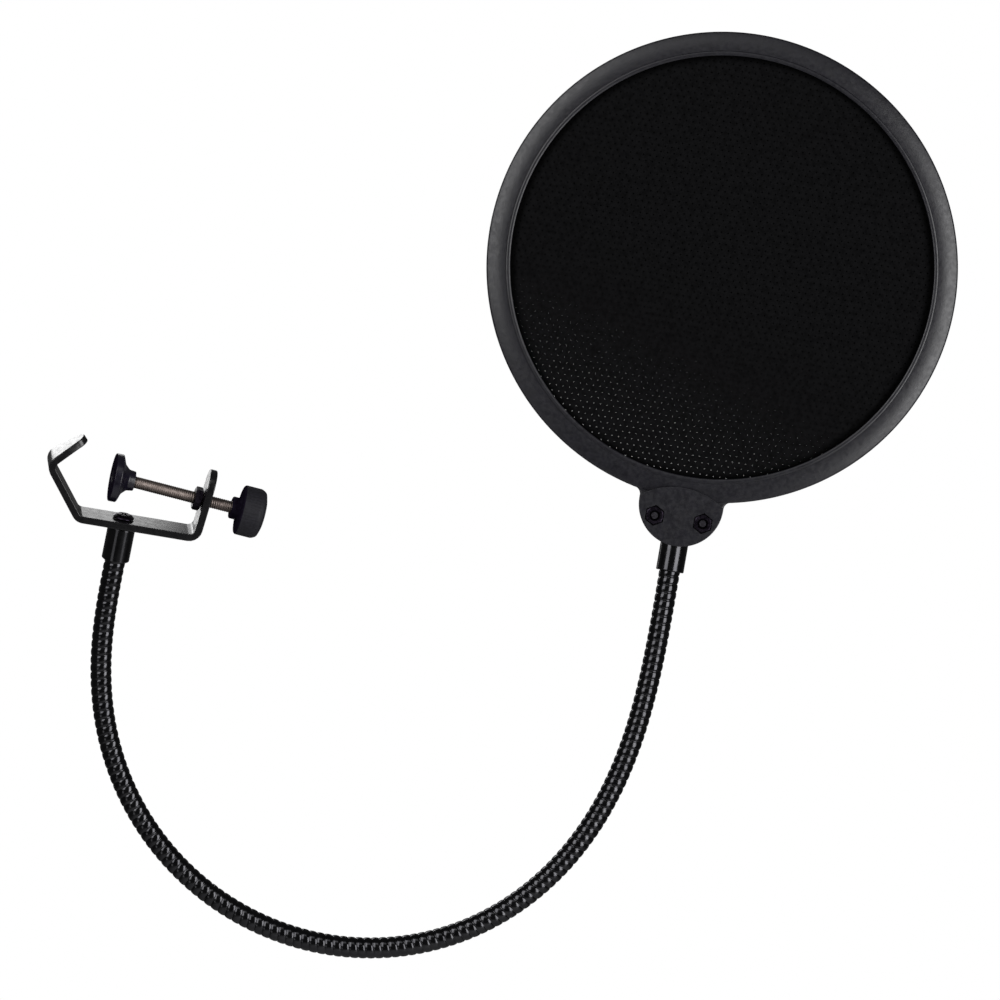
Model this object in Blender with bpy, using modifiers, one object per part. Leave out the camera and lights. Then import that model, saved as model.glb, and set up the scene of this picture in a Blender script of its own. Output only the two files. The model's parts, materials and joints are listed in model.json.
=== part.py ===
"""Clamp-on pop filter: two stretched screens in a hoop, on a bendable neck with a screw clamp.

Row frame: metres, +X towards the hoop's side, +Y away from the viewer, +Z up.
The origin is where the two legs of the clamp's V jaw meet, half way across the strip.
"""

import math

import bmesh
import bpy
from mathutils import Matrix, Vector

GAP = 0.0003  # clearance between neighbouring solids
HOOP_FACETS = 72
ROUND_FACETS = 24  # knobs, pads and ferrules
PIN_FACETS = 16  # screws, holes and the neck
ARC_STEP = math.radians(15)  # largest step along a drawn arc
MERGE = 0.00001

# Clamp: a flat steel strip folded into a C, seen a little from above.
CLAMP_YAW = math.radians(8)
CLAMP_SLOPE = math.radians(14.4)
CLAMP_TILT = math.radians(18)
STRIP_WIDTH = 0.012
STRIP_THICK = 0.0024
BEND_INNER_R = 0.002
BEND_STEPS = 5
JAW_HALF_ANGLE = math.radians(47.4)
BAR_SLOPE = math.radians(5.2)  # of the bar to the clamp screw
HOOK_LEG = 0.0134
THROAT_LEG = 0.0194
BAR = 0.038
EAR = 0.0215
HOOK_TIP_R = 0.0035
BASE_HOLE_AT = 0.0146  # along the bar's inner face, from the throat's corner

# Clamp screw: M4, with a knob outside the ear and a swivelling pad in the jaw.
M4_R = 0.002
M4_HOLE_R = M4_R + GAP
THREAD_NUT_FLATS = 0.007
THREAD_NUT = 0.0026
PAD_FACE_AT = 0.0202  # from the jaw's corner
PAD_R = 0.008
PAD_LENGTH = 0.0075
PAD_RIM = 0.0025  # the thickness of its rim
PAD_NECK_R = 0.0035  # where the flare meets the hub
PAD_NECK = 0.0022  # from the hub's end
PAD_FLARE_R = 0.005
PAD_FLARE = 0.0038  # from the hub's end
PAD_HUB_R = 0.0032
PAD_SOCKET_R = 0.0026
PAD_RECESS_R = 0.0036
PAD_RECESS = 0.0019
PAD_WEB = 0.0022
PAD_TILT = math.radians(3.5)
RIVET_R = 0.001
RIVET_BORE = 0.003
RIVET_HEAD_R = 0.003
RIVET_HEAD = 0.0009
KNOB_AT = 0.0608
KNOB_LENGTH = 0.0114
KNOB_HUB = 0.0029
KNOB_HUB_R = 0.0037
KNOB_R = 0.0083
KNOB_BORE = 0.0069
KNOB_FACETS = 36
KNOB_CROWN_R = 0.006
KNOB_CHAMFER = 0.0007
PAN_HEAD_R = 0.0035
PAN_HEAD = 0.0013
PAN_CROWN = 0.8  # of its radius, at the top
CROSS_HALF = 0.0019
CROSS_SLOT_HALF = 0.0004
CROSS_DEPTH = 0.001
BASE_SCREW_REACH = 0.005  # past the bar's outer face
CUT_PAST = 0.001  # how far a cutter runs past the face it opens

# Neck: from the rim of the base ferrule to the rim of the head ferrule.
NECK_R = 0.0034
NECK_LENGTH = 0.3561
NECK_PIECES = 13
NECK_INSERT = 0.0065  # hidden in each ferrule
NECK_END_HEADING = math.radians(170.2)  # from straight down, turning towards +X
NECK_CURL = (-3.38, 23.35, -61.8, 79.2, -34.1)  # how the bend is shared along the neck, radians
NECK_LEVEL_AT = 0.55  # share of the length after which the neck stays in one upright plane
NECK_STEPS = 720
BODY_RINGS = 4

FERRULE_R = 0.0046
FERRULE_EDGE = 0.0005
BASE_FERRULE = 0.0119

# Head: two half hoops with a pocket between them, and a lug in two halves below.
HEAD_REACH = 0.1017  # from the neck's end to the hoop's centre
HOOP_R = 0.0778
HOOP_INNER_R = 0.070
HOOP_HALF = 0.006
HOOP_EDGE_R = 0.0008
CROWN_TILTS = (math.radians(3), math.radians(22))  # of the face, by the bead and by the edge
CROWN_STEPS = 3
BEAD_R = 0.00065
POCKET_R = 0.0742
FLANGE_BACK = 0.0037
PARTING = 0.00015
SCREEN = 0.00035

# Lug, measured from the hoop's centre: it clasps the head ferrule's collar.
LUG_AT = 0.0793
LUG_R = 0.014
LUG_FACE = 0.0065
LUG_STEP = 0.0045
LUG_FLOOR = 0.0002
LUG_FILLET = 0.0024
ARCH_R = 0.0233
ARCH_TOP = 0.0737
BOLT_AT = 0.0844
BOLT_SIDE = 0.00805
M3_R = 0.0015
M3_HOLE_R = M3_R + GAP
M3_FLATS = 0.0055
M3_NUT = 0.0024
M3_HEAD_R = 0.00275
M3_HEAD = 0.002
M3_END = 0.0056
NUT_SEAT = 0.0036
HEAD_SEAT = 0.0042
COLLAR_AT = 0.0845
COLLAR_R = 0.0048
COLLAR = 0.0023
STEM_R = 0.003
SLEEVE_AT = 0.0898

Y = Vector((0, 1, 0))
RIGHT_ANGLE = math.radians(90)
FULL_TURN = 2 * math.pi


def turn(angle, axis):
    return Matrix.Rotation(angle, 4, axis)


def shift(x=0, y=0, z=0):
    return Matrix.Translation((x, y, z))


def arc(centre, radius, start, end):
    """Points of a plane arc, from one angle to another, both in radians."""
    steps = max(1, math.ceil(abs(end - start) / ARC_STEP))
    angles = [start + (end - start) * i / steps for i in range(steps + 1)]
    return [(centre[0] + radius * math.cos(a), centre[1] + radius * math.sin(a)) for a in angles]


def polygon(centre, radius, corners, start=0):
    angles = [start + FULL_TURN * i / corners for i in range(corners)]
    return [(centre[0] + radius * math.cos(a), centre[1] + radius * math.sin(a)) for a in angles]


def hexagon(centre, flats):
    """A hexagon with corners up and down."""
    return polygon(centre, flats / math.sqrt(3), 6, RIGHT_ANGLE)


# Frames.
CLAMP = turn(CLAMP_YAW, "Z") @ turn(CLAMP_SLOPE, "Y") @ turn(CLAMP_TILT, "X")
SCREW = CLAMP @ turn(RIGHT_ANGLE, "Y")  # +Z along the clamp screw, away from the jaw


def throat_corner():
    """Where the inner faces of the throat leg and the bar meet, in the clamp's plane."""
    return Vector((math.cos(JAW_HALF_ANGLE), 0, -math.sin(JAW_HALF_ANGLE))) * THROAT_LEG


def base_frame():
    """On the bar's outer face, at the base hole, with +Z pointing away from the bar."""
    along = Vector((math.cos(BAR_SLOPE), 0, math.sin(BAR_SLOPE)))
    outward = Vector((math.sin(BAR_SLOPE), 0, -math.cos(BAR_SLOPE)))
    point = throat_corner() + along * BASE_HOLE_AT + outward * STRIP_THICK
    return CLAMP @ Matrix.Translation(point) @ turn(math.pi - BAR_SLOPE, "Y")


BASE = base_frame()


def frame_along(point, tangent):
    """A frame with +Z along the tangent and +Y as near the row's +Y as it can be."""
    z = tangent.normalized()
    y = (Y - z * Y.dot(z)).normalized()
    axes = Matrix((y.cross(z), y, z)).transposed()
    return Matrix.Translation(point) @ axes.to_4x4()


def neck_stations():
    """Points and directions along the neck's centreline, from rim to rim."""
    tangent = BASE.to_3x3().col[2]
    first_heading = math.atan2(tangent.x, -tangent.z)
    first_rise = math.asin(tangent.y)
    point = BASE @ Vector((0, 0, BASE_FERRULE))
    stations = [(point, tangent)]
    for i in range(NECK_STEPS):
        u = (i + 0.5) / NECK_STEPS
        curl = sum(c * u**power for power, c in enumerate(NECK_CURL))
        heading = first_heading + (NECK_END_HEADING - first_heading) * u + u * (1 - u) * curl
        rise = first_rise * max(0, 1 - u / NECK_LEVEL_AT) ** 2
        tangent = Vector((
            math.sin(heading) * math.cos(rise),
            math.sin(rise),
            -math.cos(heading) * math.cos(rise),
        ))
        point = point + tangent * NECK_LENGTH / NECK_STEPS
        stations.append((point, tangent))
    return stations


NECK = neck_stations()


def neck_frame(distance):
    """The frame at a distance from the base ferrule's rim, straight on past either end."""
    place = distance / NECK_LENGTH * NECK_STEPS
    index = min(max(int(place), 0), NECK_STEPS - 1)
    part = place - index
    point, tangent = NECK[index]
    following, next_tangent = NECK[index + 1]
    share = min(max(part, 0), 1)
    return frame_along(point.lerp(following, part), tangent.lerp(next_tangent, share))


HEAD = (
    Matrix.Translation(NECK[-1][0])
    @ turn(math.pi - NECK_END_HEADING, "Y")
    @ shift(z=HEAD_REACH)
)
FRONT = HEAD @ turn(RIGHT_ANGLE, "X")  # +Z out of the hoop's front face, +Y away from the lug
REAR = HEAD @ turn(math.pi, "Z") @ turn(RIGHT_ANGLE, "X")
LUG_AXIS = HEAD @ turn(math.pi, "X")  # +Z from the hoop's centre towards the neck


# Materials and objects.
def material(name, colour, roughness, metallic=0.0):
    made = bpy.data.materials.new(name)
    made.use_nodes = True
    surface = made.node_tree.nodes["Principled BSDF"]
    surface.inputs["Base Color"].default_value = (*colour, 1)
    surface.inputs["Roughness"].default_value = roughness
    surface.inputs["Metallic"].default_value = metallic
    return made


def place(mesh_or_curve, name, matrix, look, collection):
    made = bpy.data.objects.new(name, mesh_or_curve)
    mesh_or_curve.materials.append(look)
    collection.objects.link(made)
    made.matrix_world = matrix
    return made


def cutter(made):
    """Marks an object as a tool for other objects' Booleans."""
    made.hide_render = True
    made.display_type = "WIRE"
    return made


def turned(name, profile, matrix, look, collection, facets=ROUND_FACETS, closed=True):
    """A lathe shape from (radius, height) points that run down its outer side."""
    mesh = bpy.data.meshes.new(name)
    count = len(profile)
    edges = [(i, (i + 1) % count) for i in range(count if closed else count - 1)]
    mesh.from_pydata([(radius, 0, height) for radius, height in profile], edges, [])
    made = place(mesh, name, matrix, look, collection)
    screw = made.modifiers.new("Turn", "SCREW")
    screw.steps = facets
    screw.render_steps = facets
    screw.use_merge_vertices = True
    screw.merge_threshold = MERGE
    screw.use_smooth_shade = True
    return made


def solid(made):
    """Replaces an object by its evaluated mesh, with the seams welded."""
    depsgraph = bpy.context.evaluated_depsgraph_get()
    mesh = bpy.data.meshes.new_from_object(made.evaluated_get(depsgraph))
    work = bmesh.new()
    work.from_mesh(mesh)
    bmesh.ops.remove_doubles(work, verts=work.verts, dist=MERGE / 10)
    work.to_mesh(mesh)
    work.free()
    name, matrix, collections = made.name, made.matrix_world.copy(), made.users_collection
    bpy.data.objects.remove(made)
    made = bpy.data.objects.new(name, mesh)
    for collection in collections:
        collection.objects.link(made)
    made.matrix_world = matrix
    return made


def flat(name, outlines, low, high, matrix, look, collection):
    """A plate with the given outlines, the later ones being holes, between two heights."""
    curve = bpy.data.curves.new(name, "CURVE")
    curve.dimensions = "2D"
    curve.fill_mode = "BOTH"
    curve.extrude = (high - low) / 2
    for outline in outlines:
        spline = curve.splines.new("POLY")
        spline.points.add(len(outline) - 1)
        spline.use_cyclic_u = True
        for point, (x, y) in zip(spline.points, outline, strict=True):
            point.co = (x, y, 0, 1)
    made = place(curve, name, matrix @ shift(z=(low + high) / 2), look, collection)
    bpy.context.view_layer.update()
    return solid(made)


def disc(name, radius, low, high, matrix, look, collection, facets=HOOP_FACETS):
    mesh = bpy.data.meshes.new(name)
    work = bmesh.new()
    bmesh.ops.create_cone(
        work, cap_ends=True, segments=facets, radius1=radius, radius2=radius, depth=high - low
    )
    work.to_mesh(mesh)
    work.free()
    return place(mesh, name, matrix @ shift(z=(low + high) / 2), look, collection)


def combine(made, operation, others):
    for other in others:
        change = made.modifiers.new(other.name, "BOOLEAN")
        change.operation = operation
        change.object = other


# Clamp.
class Fold:
    """The middle line of the folded strip, from the hook's tip to the ear's, as (x, z) points."""

    def __init__(self):
        self.radius = BEND_INNER_R + STRIP_THICK / 2
        bends = (math.pi - 2 * JAW_HALF_ANGLE, JAW_HALF_ANGLE + BAR_SLOPE, RIGHT_ANGLE - BAR_SLOPE)
        legs = (HOOK_LEG, THROAT_LEG, BAR, EAR)
        set_backs = [0] + [BEND_INNER_R * math.tan(bend / 2) for bend in bends] + [0]
        heading = math.pi + JAW_HALF_ANGLE
        point = -self.direction(heading) * HOOK_LEG - self.left(heading) * STRIP_THICK / 2
        self.runs = []
        length = 0
        for i, leg in enumerate(legs):
            straight = leg - set_backs[i] - set_backs[i + 1]
            self.runs.append((length, point, heading, 0))
            length += straight
            point = point + self.direction(heading) * straight
            if i < len(bends):
                self.runs.append((length, point, heading, bends[i]))
                centre = point + self.left(heading) * self.radius
                heading += bends[i]
                length += bends[i] * self.radius
                point = centre - self.left(heading) * self.radius
        self.length = length
        self.set_backs = set_backs

    @staticmethod
    def direction(heading):
        return Vector((math.cos(heading), math.sin(heading)))

    @staticmethod
    def left(heading):
        return Vector((-math.sin(heading), math.cos(heading)))

    def leg_start(self, leg):
        return self.runs[2 * leg][0]

    def seams(self):
        """Lengths at which the strip needs an edge loop to bend at."""
        seams = []
        for start, _, _, bend in self.runs:
            if bend:
                seams += [start + bend * self.radius * i / BEND_STEPS for i in range(BEND_STEPS + 1)]
        return seams

    def place(self, length, inward):
        start, point, heading, bend = [run for run in self.runs if run[0] <= length + MERGE][-1]
        if not bend:
            flat_point = point + self.direction(heading) * (length - start)
            return flat_point + self.left(heading) * inward
        centre = point + self.left(heading) * self.radius
        now = heading + (length - start) / self.radius
        return centre - self.left(now) * (self.radius - inward)


def make_bracket(look, collection):
    """The flat blank with its two holes, folded along the clamp's outline."""
    fold = Fold()
    half = STRIP_WIDTH / 2
    outline = arc((HOOK_TIP_R, 0), HOOK_TIP_R, RIGHT_ANGLE, 3 * RIGHT_ANGLE)
    outline += [(fold.runs[1][0], -half)]
    outline += arc((fold.length - half, 0), half, -RIGHT_ANGLE, RIGHT_ANGLE)
    outline += [(fold.runs[1][0], half)]
    base_hole = fold.leg_start(2) + BASE_HOLE_AT - fold.set_backs[2]
    ear_corner_height = throat_corner().z + BAR * math.sin(BAR_SLOPE)
    ear_hole = fold.leg_start(3) - ear_corner_height - fold.set_backs[3]
    holes = [polygon((at, 0), M4_HOLE_R, PIN_FACETS) for at in (base_hole, ear_hole)]
    thick = STRIP_THICK / 2
    made = flat("clamp_bracket", [outline, *holes], -thick, thick, CLAMP, look, collection)
    work = bmesh.new()
    work.from_mesh(made.data)
    for seam in fold.seams():
        geometry = work.verts[:] + work.edges[:] + work.faces[:]
        bmesh.ops.bisect_plane(
            work, geom=geometry, plane_co=(seam, 0, 0), plane_no=(1, 0, 0), dist=MERGE / 10
        )
    for vert in work.verts:
        x, z = fold.place(vert.co.x, vert.co.z)
        vert.co = (x, vert.co.y, z)
    work.to_mesh(made.data)
    work.free()
    return made


def make_thread_nut(look, collection):
    ear = THROAT_LEG * math.cos(JAW_HALF_ANGLE) + BAR * math.cos(BAR_SLOPE)
    outlines = [
        hexagon((0, 0), THREAD_NUT_FLATS),
        polygon((0, 0), M4_HOLE_R, PIN_FACETS),
    ]
    high = ear - GAP
    return flat("thread_nut", outlines, high - THREAD_NUT, high, SCREW, look, collection)


def pad_pivot():
    return PAD_FACE_AT + PAD_RECESS + PAD_WEB / 2


def make_pad(look, collection):
    """A flared cup that swivels on the screw's end, held by a rivet in its face."""
    face = PAD_FACE_AT - pad_pivot()
    back = face + PAD_LENGTH
    web_front = face + PAD_RECESS
    web_back = web_front + PAD_WEB
    rim_back = face + PAD_RIM
    profile = [
        (PAD_HUB_R - FERRULE_EDGE, back),
        (PAD_HUB_R, back - FERRULE_EDGE),
        (PAD_NECK_R, back - PAD_NECK),
        (PAD_FLARE_R, back - PAD_FLARE),
        (PAD_R - 2 * FERRULE_EDGE, rim_back + FERRULE_EDGE),
        (PAD_R, rim_back),
        (PAD_R, face + FERRULE_EDGE),
        (PAD_R - FERRULE_EDGE, face),
        (PAD_RECESS_R, face),
        (PAD_RECESS_R, web_front),
        (RIVET_R + GAP, web_front),
        (RIVET_R + GAP, web_back),
        (PAD_SOCKET_R, web_back),
        (PAD_SOCKET_R, back),
    ]
    matrix = SCREW @ shift(z=pad_pivot()) @ turn(-PAD_TILT, "Y")
    return turned("clamp_pad", profile, matrix, look, collection)


def screw_end():
    return pad_pivot() + PAD_WEB / 2 + GAP


def make_rivet(look, collection):
    head_back = PAD_FACE_AT + PAD_RECESS - GAP
    head_front = head_back - RIVET_HEAD
    tail = screw_end() + RIVET_BORE - GAP
    profile = [
        (0, tail),
        (RIVET_R, tail),
        (RIVET_R, head_back),
        (RIVET_HEAD_R, head_back),
        (RIVET_HEAD_R, head_front + RIVET_HEAD / 2),
        (RIVET_HEAD_R - RIVET_HEAD, head_front),
        (0, head_front),
    ]
    return turned("pad_rivet", profile, SCREW, look, collection, PIN_FACETS, closed=False)


def make_clamp_screw(look, collection):
    """The shank, hollow at the jaw end where the rivet is pressed in."""
    front = screw_end()
    back = KNOB_AT + KNOB_BORE - GAP
    bore = RIVET_R + GAP
    profile = [
        (0, back),
        (M4_R, back),
        (M4_R, front),
        (bore, front),
        (bore, front + RIVET_BORE),
        (0, front + RIVET_BORE),
    ]
    return turned("clamp_screw", profile, SCREW, look, collection, PIN_FACETS, closed=False)


def make_knob(look, collection):
    end = KNOB_AT + KNOB_LENGTH
    shoulder = KNOB_AT + KNOB_HUB
    floor = KNOB_AT + KNOB_BORE
    profile = [
        (0, end),
        (KNOB_CROWN_R, end - GAP),
        (KNOB_R - KNOB_CHAMFER, end - KNOB_CHAMFER),
        (KNOB_R, end - 3 * KNOB_CHAMFER),
        (KNOB_R, shoulder + KNOB_CHAMFER),
        (KNOB_R - KNOB_CHAMFER, shoulder),
        (KNOB_HUB_R, shoulder),
        (KNOB_HUB_R, KNOB_AT + GAP),
        (KNOB_HUB_R - GAP, KNOB_AT),
        (M4_HOLE_R, KNOB_AT),
        (M4_HOLE_R, floor),
        (0, floor),
    ]
    return turned("clamp_knob", profile, SCREW, look, collection, KNOB_FACETS, closed=False)


def make_base_screw(look, tools, collection):
    """A pan-head screw on the bar, with a cross recess."""
    seat = -STRIP_THICK - GAP
    top = seat - PAN_HEAD
    profile = [
        (0, BASE_SCREW_REACH),
        (M4_R, BASE_SCREW_REACH),
        (M4_R, seat),
        (PAN_HEAD_R, seat),
        (PAN_HEAD_R, top + PAN_HEAD / 2),
        (PAN_HEAD_R * PAN_CROWN, top),
        (0, top),
    ]
    made = turned("base_screw", profile, BASE, look, collection, PIN_FACETS, closed=False)
    wide, narrow = CROSS_HALF, CROSS_SLOT_HALF
    slot = [(-wide, -narrow), (wide, -narrow), (wide, narrow), (-wide, narrow)]
    cuts = []
    for name, quarter in (("cross_slot_a", 1), ("cross_slot_b", 3)):
        matrix = BASE @ turn(quarter * RIGHT_ANGLE / 2, "Z")
        cut = flat(name, [slot], top - CUT_PAST, top + CROSS_DEPTH, matrix, look, tools)
        cuts.append(cutter(cut))
    combine(made, "DIFFERENCE", cuts)
    return made


# Ferrules and neck.
def sleeve_profile(start, rim):
    """The outer side of a ferrule, from its rim down to its start, then its bore."""
    bore = NECK_R + GAP
    floor = rim - NECK_INSERT - GAP
    outer = [
        (FERRULE_R - FERRULE_EDGE, rim),
        (FERRULE_R, rim - FERRULE_EDGE),
        (FERRULE_R, start + GAP),
        (FERRULE_R - GAP, start),
    ]
    return outer, [(bore, floor), (bore, rim)]


def make_base_ferrule(look, collection):
    outer, bore = sleeve_profile(GAP, BASE_FERRULE)
    hole = [(M4_HOLE_R, GAP), (M4_HOLE_R, bore[0][1])]
    return turned("base_ferrule", outer + hole + bore, BASE, look, collection)


def make_head_ferrule(look, collection):
    """A sleeve with a stem and a collar, which the lug's halves clasp."""
    rim = HEAD_REACH
    outer, bore = sleeve_profile(SLEEVE_AT, rim)
    collar_end = COLLAR_AT + COLLAR
    stem = [
        (STEM_R, SLEEVE_AT),
        (STEM_R, collar_end),
        (COLLAR_R, collar_end),
        (COLLAR_R, COLLAR_AT),
        (0, COLLAR_AT),
    ]
    profile = [(0, bore[0][1]), *bore, *outer, *stem]
    return turned("head_ferrule", profile, LUG_AXIS, look, collection, closed=False)


def link_profile(length, first, last):
    """A neck piece laid straight: a cup round its first joint, a ball at its last."""
    cup = NECK_R + GAP
    rim = math.asin(NECK_R / cup)  # the angle at which the cup's edge meets the neck's side
    profile = [(0, length)]
    if last:
        profile += [(NECK_R, length)]
    else:
        ball = arc((0, length), NECK_R, RIGHT_ANGLE, 0)
        profile = [(0, length + NECK_R), *ball[2::2]]
    start = 0 if first else cup * math.cos(rim)
    body = [length + (start - length) * i / BODY_RINGS for i in range(1, BODY_RINGS + 1)]
    profile += [(NECK_R, height) for height in body]
    if first:
        return [*profile, (0, start)]
    angles = [rim * 2 / 3, rim / 3, 0]
    return profile + [(cup * math.sin(a), cup * math.cos(a)) for a in angles]


def make_neck_piece(number, look, collection):
    """Turned straight, then bent along the neck's centreline about its own first joint."""
    pitch = NECK_LENGTH / NECK_PIECES
    first = number == 1
    last = number == NECK_PIECES
    joint = -NECK_INSERT if first else (number - 1) * pitch
    end = NECK_LENGTH + NECK_INSERT if last else number * pitch
    name = f"neck_{number:02d}"
    profile = link_profile(end - joint, first, last)
    made = turned(name, profile, Matrix(), look, collection, PIN_FACETS, closed=False)
    bpy.context.view_layer.update()
    made = solid(made)
    frame = neck_frame(joint)
    to_local = frame.inverted()
    for vert in made.data.vertices:
        across = Vector((vert.co.x, vert.co.y, 0))
        vert.co = to_local @ (neck_frame(joint + vert.co.z) @ across)
    made.matrix_world = frame
    return made


# Hoop and lug.
def hoop_crown():
    """The hoop's face, which slopes more and more from the bead to its rounded edge."""
    inner, outer = CROWN_TILTS
    start = HOOP_INNER_R + 2 * BEAD_R
    end = HOOP_R - HOOP_EDGE_R * (1 - math.sin(outer))
    radius = (end - start) / (math.sin(outer) - math.sin(inner))
    tilts = [inner + (outer - inner) * i / CROWN_STEPS for i in range(CROWN_STEPS + 1)]
    top = HOOP_HALF - radius * math.cos(inner)
    face = [(start + radius * (math.sin(t) - math.sin(inner)), top + radius * math.cos(t)) for t in tilts]
    edge_at = (HOOP_R - HOOP_EDGE_R, face[-1][1] - HOOP_EDGE_R * math.cos(outer))
    return face + arc(edge_at, HOOP_EDGE_R, RIGHT_ANGLE - outer, 0)[1::2]


def half_hoop_profile():
    bead = arc((HOOP_INNER_R + BEAD_R, HOOP_HALF), BEAD_R, math.pi, 0)[::3]
    pocket = [
        (HOOP_R, PARTING),
        (POCKET_R, PARTING),
        (POCKET_R, FLANGE_BACK),
        (HOOP_INNER_R, FLANGE_BACK),
    ]
    return hoop_crown() + pocket + bead[:-1]


def lug_outline():
    """The lug's round end with a fillet at each side, closed inside the hoop's rim."""
    corner = LUG_R + LUG_FILLET
    top = -math.sqrt(HOOP_R**2 - corner**2)
    right = arc((corner, top - LUG_FILLET), LUG_FILLET, RIGHT_ANGLE, 2 * RIGHT_ANGLE)
    end = arc((0, -LUG_AT), LUG_R, 0, -math.pi)
    left = arc((-corner, top - LUG_FILLET), LUG_FILLET, 0, RIGHT_ANGLE)
    return right + end + left + [(-corner, top + CUT_PAST), (corner, top + CUT_PAST)]


def arch_outline():
    """The lug's raised face, which ends in an arch on the hoop."""
    centre = (0, -ARCH_TOP - ARCH_R)
    reach = math.asin(LUG_R / ARCH_R)
    arch = arc(centre, ARCH_R, RIGHT_ANGLE + reach, RIGHT_ANGLE - reach)
    return arch + arc((0, -LUG_AT), LUG_R, 0, -math.pi)


def bolt_places():
    return {"left": (-BOLT_SIDE, -BOLT_AT), "right": (BOLT_SIDE, -BOLT_AT)}


def clasp_cutter(look, tools):
    """The space for the head ferrule's collar, stem and sleeve."""
    collar_end = COLLAR_AT + COLLAR + GAP
    end = LUG_AT + LUG_R + STRIP_THICK
    profile = [
        (0, end),
        (FERRULE_R + GAP, end),
        (FERRULE_R + GAP, SLEEVE_AT - GAP),
        (STEM_R + GAP, SLEEVE_AT - GAP),
        (STEM_R + GAP, collar_end),
        (COLLAR_R + GAP, collar_end),
        (COLLAR_R + GAP, COLLAR_AT - GAP),
        (0, COLLAR_AT - GAP),
    ]
    return cutter(turned("clasp_space", profile, LUG_AXIS, look, tools, closed=False))


def make_half_hoop(name, frame, seats, clasp, look, tools, collection):
    """Half of the hoop with half of the lug, cut for the ferrule, the bolts and their ends."""
    made = turned(name, half_hoop_profile(), frame, look, collection, HOOP_FACETS)
    wall = (POCKET_R + HOOP_R) / 2
    pocket = cutter(disc(f"{name}_pocket", wall, -CUT_PAST, HOOP_HALF, frame, look, tools))
    base = flat(f"{name}_lug", [lug_outline()], LUG_FLOOR, LUG_STEP, frame, look, tools)
    combine(base, "DIFFERENCE", [pocket])
    low = FLANGE_BACK + GAP
    face = flat(f"{name}_arch", [arch_outline()], low, LUG_FACE, frame, look, tools)
    combine(made, "UNION", [cutter(base), cutter(face)])
    above = LUG_FACE + CUT_PAST
    holes = []
    for side, centre in bolt_places().items():
        hole = polygon(centre, M3_HOLE_R, PIN_FACETS)
        label = f"{name}_{side}"
        holes.append(cutter(flat(f"{label}_hole", [hole], -CUT_PAST, above, frame, look, tools)))
        outline, floor = seats(centre)
        holes.append(cutter(flat(f"{label}_seat", [outline], floor, above, frame, look, tools)))
    combine(made, "DIFFERENCE", [clasp, *holes])
    return made


def nut_seat(centre):
    return hexagon(centre, M3_FLATS + 2 * GAP), NUT_SEAT


def head_seat(centre):
    return polygon(centre, M3_HEAD_R + GAP, ROUND_FACETS), HEAD_SEAT


def make_screens(look, collection):
    high = FLANGE_BACK - GAP
    low = high - SCREEN
    for name, frame in (("front_screen", FRONT), ("rear_screen", REAR)):
        disc(name, POCKET_R - GAP, low, high, frame, look, collection)


def make_spacer(look, collection):
    half = FLANGE_BACK - 2 * GAP - SCREEN
    outer = POCKET_R - GAP
    profile = [(outer, half), (outer, -half), (HOOP_INNER_R, -half), (HOOP_INNER_R, half)]
    return turned("spacer_ring", profile, FRONT, look, collection, HOOP_FACETS)


def make_lug_bolts(nut_look, screw_look, collection):
    low = NUT_SEAT + GAP
    for side, (x, y) in bolt_places().items():
        outlines = [hexagon((0, 0), M3_FLATS), polygon((0, 0), M3_HOLE_R, PIN_FACETS)]
        matrix = FRONT @ shift(x, y)
        flat(f"lug_nut_{side}", outlines, low, low + M3_NUT, matrix, nut_look, collection)
        seat = -HEAD_SEAT - GAP
        profile = [
            (0, M3_END),
            (M3_R, M3_END),
            (M3_R, seat),
            (M3_HEAD_R, seat),
            (M3_HEAD_R, seat - M3_HEAD / 2),
            (M3_HEAD_R - M3_HEAD / 2, seat - M3_HEAD),
            (0, seat - M3_HEAD),
        ]
        name = f"lug_screw_{side}"
        turned(name, profile, matrix, screw_look, collection, PIN_FACETS, closed=False)


def clear_scene():
    for leftover in list(bpy.data.objects):
        bpy.data.objects.remove(leftover)


def make_collection(name):
    made = bpy.data.collections.new(name)
    bpy.context.scene.collection.children.link(made)
    return made


def main():
    clear_scene()
    parts = make_collection("pop_filter")
    tools = make_collection("cutters")

    painted = material("painted_steel", (0.035, 0.032, 0.036), 0.38, 0.6)
    black_steel = material("black_steel", (0.012, 0.012, 0.014), 0.3, 0.8)
    zinc = material("zinc_steel", (0.30, 0.26, 0.23), 0.42, 1.0)
    gloss = material("black_chrome", (0.02, 0.02, 0.022), 0.16, 0.9)
    knob_plastic = material("knob_plastic", (0.032, 0.032, 0.038), 0.6)
    pad_plastic = material("pad_plastic", (0.012, 0.011, 0.016), 0.4)
    hoop_plastic = material("hoop_plastic", (0.03, 0.029, 0.036), 0.5)
    knit = material("screen_knit", (0.008, 0.008, 0.009), 0.85)

    make_bracket(painted, parts)
    make_thread_nut(black_steel, parts)
    make_clamp_screw(zinc, parts)
    make_knob(knob_plastic, parts)
    make_rivet(zinc, parts)
    make_pad(pad_plastic, parts)
    make_base_screw(black_steel, tools, parts)
    make_base_ferrule(gloss, parts)
    for number in range(1, NECK_PIECES + 1):
        make_neck_piece(number, gloss, parts)
    make_head_ferrule(gloss, parts)
    clasp = clasp_cutter(hoop_plastic, tools)
    make_half_hoop("front_hoop", FRONT, nut_seat, clasp, hoop_plastic, tools, parts)
    make_half_hoop("rear_hoop", REAR, head_seat, clasp, hoop_plastic, tools, parts)
    make_spacer(hoop_plastic, parts)
    make_screens(knit, parts)
    make_lug_bolts(black_steel, black_steel, parts)


main()
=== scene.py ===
"""Looks for the clamp-on pop filter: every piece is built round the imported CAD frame.

Metres, in the row frame: +X towards the hoop's side, +Y away from the viewer, +Z up.
"""

import json
import math

import bmesh
import bpy
import numpy as np
from mathutils import Matrix, Vector

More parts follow.
